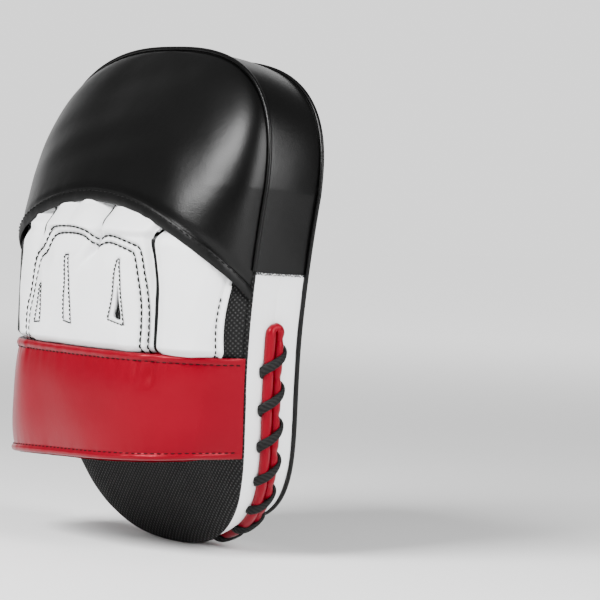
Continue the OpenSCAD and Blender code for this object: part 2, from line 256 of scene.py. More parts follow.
def arch_lengths(arch, z, samples):
    """The angles of an arch at the height z, and the lengths from its crest to them."""
    a = np.linspace(0, math.pi, samples)
    run = travelled(arch(a, np.full_like(a, z)))
    return a, run[samples // 2] - run


SECTION_ANGLE, SECTION_RUN = arch_lengths(glove_arch, 0.0, 1441)
THUMB_FOOT = SECTION_RUN[0]
PINKY_FOOT = SECTION_RUN[-1]


def hood_depth(z):
    """Depth of the hood's crest behind the pad at the height z."""
    t = np.clip((z - HOOD_FULL_Z) / (HOOD_TIP - HOOD_FULL_Z), 0, 1)
    return (HOOD_D - 2) * (1 - t ** 1.4) + 2.2


def hood_y(x, z):
    """Place of the hood's outside over a sideways place and a height."""
    c = np.clip(np.abs(x) / (half_width(z) - HOOD_INSET), 0, 1) ** (1 / HOOD_ROUND_X)
    return back_y(z) - 0.2 - hood_depth(z) * np.sqrt(1 - c * c) ** HOOD_ROUND_Y


def glove_spot(m, z):
    """The plain arch of the glove by its length from the crest, m, and its height."""
    return glove_arch(np.interp(-m, -SECTION_RUN, SECTION_ANGLE), z)


def glove_normal(m, z):
    """The outward direction of the glove's arch."""
    m, z = np.broadcast_arrays(np.asarray(m, float), z)
    e = 0.4
    across = glove_spot(m + e, z) - glove_spot(m - e, z)
    return unit(np.cross(across, glove_spot(m, z + e) - glove_spot(m, z - e)))


def hand(m, z, off):
    """A point of the glove raised by off. The glove dips under the hood's hem and under the strap."""
    m, z, off = np.broadcast_arrays(np.asarray(m, float), z, off)
    normal = glove_normal(m, z)
    hem = hem_z(m)
    under_strap = 9 * smooth((STRAP_TOP + 4 - z) / 8)
    p = glove_spot(m, z) - normal * under_strap[..., None]
    below_hem = np.clip(hem - HEM_H + 1 - z, 0, None)
    limit = hood_y(p[..., 0], np.maximum(z, hem)) + 2.6 - 0.9 * below_hem
    softness = 1.2
    p[..., 1] += np.logaddexp(0, (limit - p[..., 1]) / softness) * softness
    shown = 1 - smooth((z - hem + HEM_H - 2) / 4)
    return p + normal * (off * shown - 1.5 * (1 - shown))[..., None]


def glove_top(m):
    """Height at which the glove ends, out of sight under the hood's hem."""
    return hem_z(m) + 4


def straight(points, step):
    """Even samples along the closed polygon through a few corners."""
    p = np.asarray(list(points) + [points[0]], float)
    return resampled(p, int(travelled(p)[-1] / step))


def polyline_distance(x, y, points):
    """Distance of every (x, y) from a polyline."""
    best = np.full(np.shape(x), 1e9)
    for (ax, ay), (bx, by) in zip(points[:-1], points[1:]):
        dx, dy = bx - ax, by - ay
        t = np.clip(((x - ax) * dx + (y - ay) * dy) / (dx * dx + dy * dy + 1e-9), 0, 1)
        best = np.minimum(best, np.hypot(x - ax - t * dx, y - ay - t * dy))
    return best


def curve_through(points, step=0.5, closed=False):
    """Even samples along a Catmull-Rom curve through a few points."""
    p = np.asarray(points, float)
    if closed:
        p = np.vstack([p[-1], p, p[:2]])
    else:
        p = np.vstack([2 * p[0] - p[1], p, 2 * p[-1] - p[-2]])
    t = np.linspace(0, 1, 24, endpoint=False)[:, None]
    parts = []
    for a, b, c, d in zip(p[:-3], p[1:-2], p[2:-1], p[3:]):
        square = 2 * a - 5 * b + 4 * c - d
        cube = 3 * (b - c) + d - a
        parts.append(b + 0.5 * t * (c - a + t * (square + t * cube)))
    dense = np.vstack(parts + [p[-2][None]])
    return resampled(dense, max(int(travelled(dense)[-1] / step), 4))


# ---------- meshes ----------

def in_scene(name, data):
    """A new object of the scene."""
    obj = bpy.data.objects.new(name, data)
    bpy.context.collection.objects.link(obj)
    return obj


def make_object(name, points, faces, material, uv=None, sharp=50):
    """A mesh object with smooth shading, and creases where faces meet at more than sharp degrees."""
    mesh = bpy.data.meshes.new(name)
    mesh.from_pydata([tuple(p) for p in np.asarray(points) * MM], [], faces)
    if uv is not None:
        layer = mesh.uv_layers.new(name="UVMap")
        index = np.zeros(len(mesh.loops), np.int32)
        mesh.loops.foreach_get("vertex_index", index)
        layer.data.foreach_set("uv", np.asarray(uv, np.float32)[index].ravel())
    mesh.validate()
    mesh.shade_smooth()
    mesh.set_sharp_from_angle(angle=math.radians(sharp))
    mesh.materials.append(material)
    return in_scene(name, mesh)


def surface_normals(p, wrap):
    """The normals of a grid of points, which may wrap around in its first direction."""
    du = (np.roll(p, -1, 1) - np.roll(p, 1, 1)) if wrap else np.gradient(p, axis=1)
    return unit(np.cross(du, np.gradient(p, axis=0)))


def shell(name, surface, nu, nv, thick, material, wrap=False, flip=False, sharp=50, flat_uv=False):
    """A closed sheet of cloth or leather: surface(u, v) is its outside, and thick its thickness inward."""
    u = np.linspace(0, 1, nu, endpoint=not wrap)
    U, V = np.meshgrid(u, np.linspace(0, 1, nv))
    outer = surface(U, V)
    n = surface_normals(outer, wrap) * (-1 if flip else 1)
    depth = thick(U, V) if callable(thick) else thick
    inner = outer - n * np.broadcast_to(depth, U.shape)[..., None]
    size = nu * nv
    index = np.arange(size).reshape(nv, nu)
    a, b = (index, np.roll(index, -1, 1)) if wrap else (index[:, :-1], index[:, 1:])
    quads = np.stack([a[:-1], b[:-1], b[1:], a[1:]], -1).reshape(-1, 4)
    if flip:
        quads = quads[:, ::-1]
    lines = [(a[0], b[0], True), (a[-1], b[-1], False)]
    if not wrap:
        lines += [(index[:-1, 0], index[1:, 0], False), (index[:-1, -1], index[1:, -1], True)]
    walls = []
    for first, second, forward in lines:
        w = np.stack([first, first + size, second + size, second], -1)
        walls.append(w if forward != flip else w[:, ::-1])
    faces = np.vstack([quads, quads[:, ::-1] + size] + walls)
    length_u = np.linalg.norm(np.diff(outer, axis=1), axis=-1).sum(1).mean()
    length_v = np.linalg.norm(np.diff(outer, axis=0), axis=-1).sum(0).mean()
    uv = np.stack([U.ravel() * length_u, V.ravel() * length_v], 1) * 0.01
    if flat_uv:
        uv = outer.reshape(-1, 3)[:, [0, 2]] * 0.01
    points = np.vstack([outer.reshape(-1, 3), inner.reshape(-1, 3)])
    return make_object(name, points, faces.tolist(), material, np.vstack([uv, uv]), sharp)


def disc(name, out, center, profile, rings, around, thick, material, flip):
    """A closed sheet over the whole outline, and out past it.

    profile(share, t) gives its height at a share of the way from the center to the outline's share t.
    """
    def surface(U, V):
        share = 0.004 + 0.996 * V ** 0.6
        x, s = edge(U, out)
        x = center[0] + (x - center[0]) * share
        s = center[1] + (s - center[1]) * share
        return on_pad(x, s, profile(share, U))
    return shell(name, surface, around, rings, thick, material, wrap=True, flip=flip, flat_uv=True)


def frames(path, normal, closed=False):
    """The sideways and the upward direction at each point of a path."""
    ahead = (np.roll(path, -1, 0) - np.roll(path, 1, 0)) if closed else np.gradient(path, axis=0)
    tangent = unit(ahead)
    side = unit(np.cross(tangent, normal))
    return side, np.cross(side, tangent)


def tube_quads(first, second):
    """The faces between rings of point numbers and the rings that follow them."""
    quads = np.stack([first, second, np.roll(second, -1, -1), np.roll(first, -1, -1)], -1)
    return quads.reshape(-1, 4).tolist()


def sweep(name, path, normal, width, height, material, sides, closed=False, square=2.0):
    """A cord or roll along a path, with half sizes width across and height along its normal."""
    n = len(path)
    side, up = frames(path, normal, closed)
    angle = np.linspace(0, 2 * math.pi, sides, endpoint=False)
    c, s = np.cos(angle), np.sin(angle)
    ring_x = (np.sign(c) * np.abs(c) ** (2 / square))[None, :, None]
    ring_y = (np.sign(s) * np.abs(s) ** (2 / square))[None, :, None]
    w = np.broadcast_to(width, n)[:, None, None]
    h = np.broadcast_to(height, n)[:, None, None]
    points = path[:, None] + side[:, None] * ring_x * w + up[:, None] * ring_y * h
    k = np.arange(n * sides).reshape(n, sides)
    if closed:
        faces = tube_quads(k, np.roll(k, -1, 0))
    else:
        faces = tube_quads(k[:-1], k[1:]) + [k[0].tolist(), k[-1, ::-1].tolist()]
    uv = np.stack([np.repeat(travelled(path), sides), np.tile(angle, n) * 2], 1) * 0.01
    return make_object(name, points.reshape(-1, 3), faces, material, uv)


def stitches(name, path, normal, material, length, pitch, r):
    """A row of thread stitches along a path, each an arched grain of thread that dives at its ends."""
    run = travelled(path)
    side, up = frames(path, normal)
    count = max(int(run[-1] / pitch), 1)
    local = np.array([0.0, 0.12, 0.32, 0.5, 0.68, 0.88, 1.0])
    radius = r * np.array([0.35, 0.8, 1.0, 1.05, 1.0, 0.8, 0.35])
    lift = r * np.array([-0.9, 0.1, 0.7, 0.85, 0.7, 0.1, -0.9])
    starts = (np.arange(count) + 0.5) * run[-1] / count - length / 2
    at = starts[:, None] + local[None] * length

    def sample(values):
        return np.stack([np.interp(at, run, values[:, i]) for i in range(3)], -1)[:, :, None]
    sides = 8
    angle = np.linspace(0, 2 * math.pi, sides, endpoint=False)[None, None, :, None]
    ring = sample(side) * np.cos(angle) + sample(up) * np.sin(angle)
    middle = sample(path) + sample(up) * lift[None, :, None, None]
    points = middle + ring * radius[None, :, None, None]
    k = np.arange(count * len(local) * sides).reshape(count, len(local), sides)
    faces = tube_quads(k[:, :-1], k[:, 1:]) + k[:, 0].tolist() + k[:, -1, ::-1].tolist()
    return make_object(name, points.reshape(-1, 3), faces, material)


def joined(name, parts):
    """Several objects as one."""
    bpy.ops.object.select_all(action="DESELECT")
    for o in parts:
        o.select_set(True)
    bpy.context.view_layer.objects.active = parts[0]
    bpy.ops.object.join()
    parts[0].name = name
    parts[0].data.name = name
    return parts[0]


# ---------- materials ----------

class Nodes:
    """A small helper that wires one material."""

    def __init__(self, name):
        self.material = bpy.data.materials.new(name)
        self.material.use_nodes = True
        self.tree = self.material.node_tree
        self.shader = self.tree.nodes["Principled BSDF"]
        self.place = self.tree.nodes.new("ShaderNodeTexCoord")

    def add(self, kind, **values):
        node = self.tree.nodes.new(kind)
        for key, value in values.items():
            setattr(node, key, value)
        return node

    def link(self, a, b):
        self.tree.links.new(a, b)

    def texture(self, node, place, output, **inputs):
        for socket, value in inputs.items():
            node.inputs[socket].default_value = value
        self.link(place, node.inputs["Vector"])
        return node.outputs[output]

    def noise(self, scale, detail=3):
        node = self.add("ShaderNodeTexNoise")
        return self.texture(node, self.place.outputs["Object"], "Fac", Scale=scale, Detail=detail)

    def cells(self, scale):
        node = self.add("ShaderNodeTexVoronoi")
        return self.texture(node, self.place.outputs["Object"], "Distance", Scale=scale)

    def ramp(self, value, *stops):
        """A colour ramp. Each stop is a place and a colour or a grey."""
        node = self.add("ShaderNodeValToRGB")
        elements = node.color_ramp.elements
        while len(elements) < len(stops):
            elements.new(0.5)
        for element, (where, colour) in zip(elements, stops):
            element.position = where
            element.color = (*colour, 1) if isinstance(colour, tuple) else (colour, colour, colour, 1)
        self.link(value, node.inputs["Fac"])
        return node.outputs["Color"]

    def bump(self, height, distance, strength, before=None):
        node = self.add("ShaderNodeBump")
        node.inputs["Distance"].default_value = distance
        node.inputs["Strength"].default_value = strength
        self.link(height, node.inputs["Height"])
        if before is not None:
            self.link(before, node.inputs["Normal"])
        return node.outputs["Normal"]

    def feed(self, socket, value):
        """Sets one of the shader's sockets to a node's output."""
        self.link(value, self.shader.inputs[socket])

    def set(self, socket, value):
        """Sets one of the shader's sockets to a constant."""
        self.shader.inputs[socket].default_value = value


def leather(name, dark, light, rough, grain=1500, depth=0.00012, wave=0.35, gloss=0.3, tint=(1, 1, 1)):
    """Coated leather: fine pebbled grain, faint creases, and a gloss that varies a little."""
    n = Nodes(name)
    n.feed("Base Color", n.ramp(n.noise(38, 4), (0.1, dark), (0.9, light)))
    n.feed("Roughness", n.ramp(n.noise(25, 1), (0.1, rough - 0.03), (0.9, rough + 0.04)))
    pebble = n.bump(n.cells(grain), depth, 0.25)
    creases = n.bump(n.noise(300, 4), depth * 2, 0.18, pebble)
    n.feed("Normal", n.bump(n.noise(60, 3), 0.0012, wave, creases))
    n.set("Specular IOR Level", gloss)
    n.set("Specular Tint", (*tint, 1))
    return n.material


def dot_mesh(name):
    """Black spacer mesh: staggered small raised dots with a faint gleam over a dark knit."""
    n = Nodes(name)
    turn = n.add("ShaderNodeMapping")
    turn.inputs["Rotation"].default_value = (0, 0, math.radians(45))
    n.link(n.place.outputs["UV"], turn.inputs["Vector"])
    dots = n.add("ShaderNodeTexVoronoi", voronoi_dimensions="2D")
    distance = n.texture(dots, turn.outputs["Vector"], "Distance", Scale=52, Randomness=0.06)
    n.feed("Base Color", n.ramp(distance, (0.12, 0.03), (0.3, 0.006), (0.6, 0.002)))
    n.set("Specular IOR Level", 0.25)
    n.feed("Roughness", n.ramp(distance, (0.1, 0.42), (0.35, 0.85)))
    lumps = n.bump(n.ramp(distance, (0.1, 1.0), (0.34, 0.35), (0.55, 0.0)), 0.0005, 0.9)
    n.feed("Normal", n.bump(n.noise(2600, 2), 0.00008, 0.4, lumps))
    return n.material


def knit(name, dark, light, scale=1400):
    """A soft lining or tape with a fuzzy knitted surface."""
    n = Nodes(name)
    n.feed("Base Color", n.ramp(n.cells(scale), (0.1, light), (0.7, dark)))
    loops = n.bump(n.cells(scale), 0.0003, 0.5)
    n.feed("Normal", n.bump(n.noise(scale * 1.6, 3), 0.0003, 0.5, loops))
    n.set("Roughness", 0.92)
    n.set("Sheen Weight", 0.25)
    return n.material


def cord(name, dark, light, pitch=260, rough=0.6):
    """Twisted or braided cord: slanting strands along its length."""
    n = Nodes(name)
    wave = n.add("ShaderNodeTexWave", wave_type="BANDS", bands_direction="DIAGONAL")
    bands = n.texture(wave, n.place.outputs["UV"], "Fac", Scale=pitch / 10, Distortion=0.6)
    n.feed("Base Color", n.ramp(bands, (0.2, dark), (0.8, light)))
    strands = n.bump(bands, 0.0003, 0.6)
    n.feed("Normal", n.bump(n.noise(1800, 3), 0.00015, 0.4, strands))
    n.set("Roughness", rough)
    n.set("Specular IOR Level", 0.15)
    return n.material


def foam(name, dark, light):
    """Cut foam with small open cells."""
    n = Nodes(name)
    n.feed("Base Color", n.ramp(n.cells(900), (0.1, dark), (0.5, light)))
    n.feed("Normal", n.bump(n.cells(900), 0.0005, 0.6))
    n.set("Roughness", 0.95)
    return n.material


def print_film(name):
    """A flat silver-white print that follows the leather under it."""
    n = Nodes(name)
    n.feed("Base Color", n.ramp(n.noise(500, 4), (0.3, (0.60, 0.61, 0.63)), (0.7, (0.72, 0.73, 0.75))))
    n.feed("Normal", n.bump(n.cells(1500), 0.00008, 0.3))
    n.set("Roughness", 0.42)
    n.set("Metallic", 0.15)
    return n.material


BLACK = leather("black_leather", 0.0005, 0.001, 0.33, wave=0.1, gloss=0.22)
BLACK_HEM = leather("black_binding", 0.0005, 0.001, 0.42, grain=2200, gloss=0.2)
WHITE = leather("white_leather", (0.86, 0.87, 0.885), (0.91, 0.915, 0.92), 0.42, depth=0.00008, wave=0.2)
RED = leather("red_leather", (0.15, 0.0, 0.006), (0.18, 0.0, 0.009), 0.3, depth=0.0001, wave=0.1,
              gloss=0.45, tint=(1, 0.14, 0.18))
MESH = dot_mesh("black_mesh")
LACE = cord("black_lace", 0.003, 0.01)
THREAD = cord("black_thread", 0.002, 0.008, pitch=900)
GREY_THREAD = cord("grey_thread", 0.05, 0.12, pitch=900, rough=0.45)
LINING = knit("grey_lining", (0.42, 0.42, 0.44), (0.62, 0.62, 0.64))
BLACK_LINING = knit("black_lining", (0.008, 0.008, 0.009), (0.03, 0.03, 0.032))
HOOK = knit("hook_and_loop", 0.006, 0.022, 2200)
SILVER = print_film("silver_print")
FOAMS = {
    "strike_foam": foam("strike_foam", (0.50, 0.40, 0.12), (0.62, 0.52, 0.2)),
    "shock_foam": foam("shock_foam", (0.42, 0.38, 0.26), (0.52, 0.48, 0.36)),
    "back_foam": foam("back_foam", (0.38, 0.38, 0.40), (0.5, 0.5, 0.52)),
}


def place(obj, slot, *nodes, body="mitt"):
    """Puts the piece on the body it rides on, and hides the CAD nodes it stands for. The slot is not used.
    """
    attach(obj, body)
    if nodes:
        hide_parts(*nodes)


# ---------- the pad ----------

LEATHER_T = 1.3
FACE_CENTER = (0.0, 10.0)
CURL_R = 4.5
STITCH_IN = 4.2


def face_height(share, t):
    """Height of the striking face: a crowned cushion that curls down into its seam."""
    x, s = edge(t)
    d = (1 - share) * np.hypot(x - FACE_CENTER[0], s - FACE_CENTER[1])
    curl = 4.9 * np.sqrt(1 - (1 - np.clip(d / CURL_R, 0, 1)) ** 2)
    dome = 1.8 * (1 - np.exp(-d / 22))
    soft = 0.2 * waves(x * share, s * share, 70) * smooth(d / 20)
    groove = 0.45 * bell(d - STITCH_IN, 0.9)
    return -PAD_T + 1.2 - curl - dome - soft + groove


def make_face():
    cover = disc("face_cover_leather", 0.4, FACE_CENTER, face_height, 130, 420, LEATHER_T, BLACK, False)
    place(cover, "black_leather", "face_cover")


def face_point(x, s, lift):
    """A point of the striking face at [x, s]."""
    dx, ds = x - FACE_CENTER[0], s - FACE_CENTER[1]
    loop_turn = np.unwrap(np.arctan2(LOOP[:, 1] - FACE_CENTER[1], LOOP[:, 0] - FACE_CENTER[0]))
    turn = np.arctan2(ds, dx)
    turn = np.where(turn < loop_turn[0], turn + 2 * math.pi, turn)
    t = np.interp(turn, loop_turn, np.arange(len(LOOP)) / len(LOOP))
    ex, es = edge(t)
    share = np.hypot(dx, ds) / np.hypot(ex - FACE_CENTER[0], es - FACE_CENTER[1])
    return on_pad(x, s, face_height(share, t) - lift)


def make_dot():
    """The round mark on the face, with nothing on it."""
    def surface(U, V):
        a = 2 * math.pi * U
        r = DOT_R * (0.01 + 0.99 * V) * (1 + 0.004 * np.sin(9 * a) * V)
        drop = 0.25 * smooth((V - 0.985) / 0.015)
        return face_point(r * np.cos(a), DOT_Z + r * np.sin(a), 0.3 - drop)
    dot = shell("target_dot_print", surface, 96, 40, 0.25, SILVER, wrap=True)
    place(dot, "silver_print", "target_dot")


def make_face_stitching():
    x, s = edge(np.linspace(0, 1, 1400), -STITCH_IN)
    arch_angle = s / np.where(s < 0, ARCH_BOTTOM, ARCH_TOP)
    toward_punch = np.stack([0 * s, np.cos(arch_angle), -np.sin(arch_angle)], -1)
    row = stitches("face_seam_stitches", face_point(x, s, 0.1), toward_punch, GREY_THREAD, 1.8, 2.6, 0.27)
    place(row, "thread", "face_stitching")


GUSSET_BACK_H = 0.6
GUSSET_LOW_BACK_H = -0.7
GUSSET_FACE_H = 0.8 - PAD_T


def level(h):
    """The same height all along the rim."""
    return lambda t: h + 0 * t


def gusset_surface(t0, t1, h0, h1, bulge, seed=0.0):
    """A gusset from the share t0 to t1 of the rim, between the heights h0(t) and h1(t)."""
    def surface(U, V):
        t = t0 + (t1 - t0) * U
        h = h0(t) + (h1(t) - h0(t)) * V
        puff = bulge * np.sin(math.pi * V).clip(0) ** 0.7 + 0.2 * waves(t * LOOP_LENGTH, h, 45, seed)
        return on_pad(*edge(t, puff), h)
    return surface


def upper_gusset_surface():
    """The black gusset, over the top from one join to the other, a little past both."""
    start = edge_share(JOIN_Z) - 0.001
    return gusset_surface(start, 1 - start, level(GUSSET_BACK_H), level(GUSSET_FACE_H), 1.3)


def slit_gap(t):
    """How far each half of the lower gusset stays from the middle, wider along the slit."""
    inside_slit = edge_share(SLIT_Z + 2) - np.minimum(t % 1.0, 1 - t % 1.0)
    return 0.02 + 3.6 * smooth(inside_slit / 0.006)


def make_gussets():
    top = shell("upper_gusset_leather", upper_gusset_surface(), 360, 26, LEATHER_T, BLACK, flip=True)
    place(top, "black_leather", "upper_gusset")
    join = edge_share(JOIN_Z)
    halves = (("back", level(GUSSET_LOW_BACK_H), lambda t: MIDDLE_H + slit_gap(t)),
              ("front", lambda t: MIDDLE_H - slit_gap(t), level(GUSSET_FACE_H)))
    for side, h0, h1 in halves:
        surface = gusset_surface(-join, join, h0, h1, 0.5, 1.0)
        half = shell(f"lower_gusset_{side}_leather", surface, 420, 16, LEATHER_T, WHITE, flip=True)
        place(half, "white_leather", f"lower_gusset_{side}")
    for side, u, way in (("thumb", 0.0, 1), ("pinky", 1.0, -1)):
        make_join_stitches(side, u, way)


def make_join_stitches(side, u, way):
    """A narrow zigzag over the join of the black and the white gusset."""
    h = np.linspace(0.4, 0.6 - PAD_T, 90)
    v = (GUSSET_BACK_H - h) / (GUSSET_BACK_H - GUSSET_FACE_H)
    path = upper_gusset_surface()(np.full_like(h, u), v)
    path[:, 2] += 0.55 * np.sign(np.sin(np.arange(len(h)) * math.pi / 2.5)) - 0.5
    out = np.zeros_like(path) + (way, 0, 0)
    place(stitches(f"gusset_join_stitches_{side}", path + out * 0.2, out, THREAD, 1.6, 2.0, 0.3), "thread")


def make_piping():
    front_t = np.linspace(0, 1, 720, endpoint=False)
    front_line = rim_point(front_t, -PAD_T + 0.1, 0.85)
    front = sweep("front_piping_bead", *front_line, 1.15, 1.15, BLACK, 10, closed=True)
    place(front, "black_leather", "front_piping")
    join = edge_share(JOIN_Z)
    back_line = rim_point(np.linspace(join, 1 - join, 500), 0.2, 0.7)
    place(sweep("back_piping_bead", *back_line, 1.2, 1.2, BLACK, 10), "black_leather", "back_piping")


def make_back_panel():
    center = (0.0, -20.0)

    def height(share, t):
        x, s = edge(t)
        d = (1 - share) * np.hypot(x - center[0], s - center[1])
        return 2.0 * (1 - np.exp(-d / 5)) - 0.5 + 0.15 * waves(x * share, s * share, 30)
    panel = disc("back_panel_mesh", 0.7, center, height, 70, 360, 1.4, MESH, True)
    place(panel, "black_mesh", "back_panel")


def welt_line(share):
    """The welt's centre line: down one side of the slit, round its end, back up the other."""
    t = np.linspace(-share, share, 700)
    bend = np.linspace(0, math.pi, 14)[1:-1]
    past, over = WELT_R * np.sin(bend) / LOOP_LENGTH, WELT_R * np.cos(bend)
    side = np.full_like(t, WELT_R)
    h = MIDDLE_H + np.concatenate([side, over, -side, -over])
    return np.concatenate([t, share + past, t[::-1], -share - past]), h


def make_welt(share):
    """Two red rolls that the lace pinches at every turn."""
    t, h = welt_line(share)
    phase = (t + share) / (2 * share) * LACE_TURNS * 2 * math.pi
    pinch = bell(np.sin(phase / 2 + np.where(h > MIDDLE_H, -0.5, 0.5)), 0.42)
    squeeze = 1.12 - 0.3 * pinch
    path, out = rim_point(t, h, 1.6)
    welt = sweep("lace_welt_rolls", path, out, WELT_R * np.minimum(squeeze, 1), WELT_R * squeeze,
                 RED, 16, closed=True)
    place(welt, "red_leather", "lace_welt")


def make_lace(share):
    """One cord wound around both rolls."""
    a = np.linspace(0, LACE_TURNS * 2 * math.pi, LACE_TURNS * 40)
    t = LACE_SPAN * share * (2 * a / a[-1] - 1)
    path = on_pad(*edge(t, 1.4 - LACE_RISE * np.cos(a)), MIDDLE_H + LACE_REACH * np.sin(a))
    out = unit(path - on_pad(*edge(t, 0.6), MIDDLE_H))
    place(sweep("lace_cord", path, out, LACE_W / 2, LACE_H / 2, LACE, 14, square=2.4), "lace", "lace")


# ---------- the hood ----------

def hood_at(a, z, off=0.0):
    """A point of the hood at the angle a from the thumb's side and the height z, raised by off."""
    edge_w = np.where(z < WIDEST, half_width(z), HALF_W)
    close = np.clip((z - WIDEST) / (HOOD_TIP - WIDEST), 0, 1)
    w = (edge_w - HOOD_INSET + off) * (1 - close ** HOOD_CLOSE) ** (1 / HOOD_CLOSE)
    x = w * np.sign(np.cos(a)) * np.abs(np.cos(a)) ** HOOD_ROUND_X
    y = back_y(z) - 0.2 - (hood_depth(z) + off) * np.clip(np.sin(a), 0, 1) ** HOOD_ROUND_Y
    return np.stack([x, y, z + 0 * x], -1)


def hood_hem(a):
    """Height of the hood's lower edge at the angle a."""
    return hem_z(np.interp(a, *arch_lengths(hood_at, 30.0, 721)))


def hood_point(a, v, off=0.0):
    """A point of the hood: angle a from the thumb's side, v from the hem to the tip, raised by off."""
    hem = hood_hem(a)
    return hood_at(a, hem + (HOOD_TIP - hem) * v, off)


def hood_relief(a, v):
    """Soft dents of the leather over the fingers, and small pleats above the hem."""
    dents = 1.5 * waves(a * 60, v * 75, 80, 0.7) + 0.5 * waves(a * 60 + v * 30, v * 90, 38, 1.4)
    pleats = 0.15 * waves(a * 95, v * 14, 17, 2.0) * np.exp(-v * 9)
    seam_pull = -0.8 * bell(v - 0.02, 0.03)
    return (dents + pleats) * np.sin(a) * (1 - v ** 5) + seam_pull


def make_hood():
    def surface(U, V):
        a = math.pi * (1 - U)
        v = V ** 0.85
        return hood_point(a, v, hood_relief(a, v))
    hood = shell("finger_hood_leather", surface, 200, 110, 1.6, BLACK)
    place(hood, "black_leather", "finger_hood")


def make_hood_hem():
    def band(U, V):
        a = math.pi * (1 - U)
        roll = 0.9 * np.sin(math.pi * V) ** 0.5 + 0.12 * waves(a * 90, V * 3, 11, 4.0)
        p = hood_point(a, 0 * a, 0.2 + roll)
        p[..., 2] += 1.5 - HEM_H * (1 - V)
        return p
    place(shell("hood_hem_band", band, 260, 14, 2.0, BLACK_HEM), "black_leather", "hood_hem")
    a = np.linspace(math.pi * 0.985, math.pi * 0.015, 700)
    path = hood_point(a, 0 * a, 0.75)
    path[:, 2] += 0.2
    out = hood_point(a, 0 * a, 2.0) - hood_point(a, 0 * a, 0.0)
    place(stitches("hood_hem_stitches", path, out, THREAD, 2.6, 3.8, 0.34), "thread")


# ---------- the glove: its seams are drawn as (m, z) points ------------------

GLOVE_FOOT = STRAP_TOP - 8
GLOVE_OVER = 64
PANEL_ROW = [(-46, -34), (-45, -10), (-41, 3), (-37, 19), (-28, 24), (-21, 33), (-3, 35), (10, 33.5),
             (19, 29), (30, 31.5), (46, 28), (51, 25), (54.5, 14), (57, 3), (58, -12), (57.5, -34)]
PANEL_ROW_IN = [(-41.5, -34), (-40.5, -10), (-36.5, 2), (-32.5, 16), (-24.5, 21), (-18, 29.5), (-3, 31.5),
                (10, 30), (19, 25.5), (30, 28), (44.5, 24.5), (47.5, 22), (50.5, 12), (53, 2), (54, -12),
                (53.5, -34)]
FINGER_GAPS = ((-33, 0.9), (-5, 0.25), (20, 1.6))
FOLD = [(20, 34), (17.5, 26), (13, 19), (8, 12)]
GAP_EDGE = [(60.3, -38), (60.5, -6), (60.3, 8), (58.5, 19), (56, 30), (58, 36), (62, 44), (66, GLOVE_OVER)]
PINKY_EDGE = [(-61, -38), (-62, -10), (-62, 8), (-60, 24), (-55, 33), (-50, 42), (-48, GLOVE_OVER)]
THUMB_HEM = [(99.5, -38), (98, -16), (99, -2), (101.5, 10), (104, 22), (106, 40), (107, GLOVE_OVER)]
VENTS = {
    "pinky_vent": [(-26.5, 4), (-25, 4), (-24.5, -16), (-30.5, -16.5)],
    "middle_vent": [(-4, 20), (-0.5, 20.5), (1.5, 4), (5, -15), (-2.5, -14), (-2.5, 4)],
    "index_vent": [(37.8, 20), (36.5, 2), (34, -11), (44.5, -13.5), (42, 2), (39.2, 20)],
}
VENT_HOLE = [(39.3, 7), (38.2, -3), (37.2, -9.5), (42.4, -10.5), (41, -2)]


def moved(points, m):
    """A drawn line moved sideways by m."""
    return [(a + m, b) for a, b in points]


def upright(m):
    """A drawn line straight up at the length m."""
    return [(m, -38), (m, GLOVE_OVER)]


def at_height(points, z):
    """The m of a drawn edge at the heights z."""
    c = curve_through(points, 1.0)
    return np.interp(z, c[:, 1], c[:, 0])


def inside(x, y, polygon):
    """How far inside a closed polygon every (x, y) is, below zero outside."""
    p = list(polygon) + [polygon[0]]
    d = polyline_distance(x, y, p)
    odd = np.zeros(np.shape(x), bool)
    for (ax, ay), (bx, by) in zip(p[:-1], p[1:]):
        crosses = (ay > y) != (by > y)
        with np.errstate(divide="ignore", invalid="ignore"):
            where = ax + (y - ay) * (bx - ax) / (by - ay)
        odd ^= crosses & (x < where)
    return np.where(odd, d, -d)


def between(left_edge, right_edge, u, v, low=GLOVE_FOOT):
    """Places (m, z) between two drawn edges, from under the strap to under the hood's hem."""
    z = low + (30 - low) * v
    for _ in range(3):
        left, right = at_height(left_edge, z), at_height(right_edge, z)
        m = left + (right - left) * u
        z = low + (glove_top(m) - low) * v
    return m, z


def glove_sheet(left_edge, right_edge, relief, high=1.0, low=GLOVE_FOOT):
    """The surface of a sheet of the glove between two drawn edges, raised by relief(m, z)."""
    def surface(U, V):
        m, z = between(left_edge, right_edge, U, V * high, low)
        return hand(m, z, relief(m, z))
    return surface


def hand_line(m, z, off):
    """A line on the glove raised by off, and its way outward."""
    return hand(m, z, off), glove_normal(m, z)


def finger_drift(z):
    """How far the gaps between the fingers lean toward the thumb at the height z."""
    return -0.25 * (z - 32)


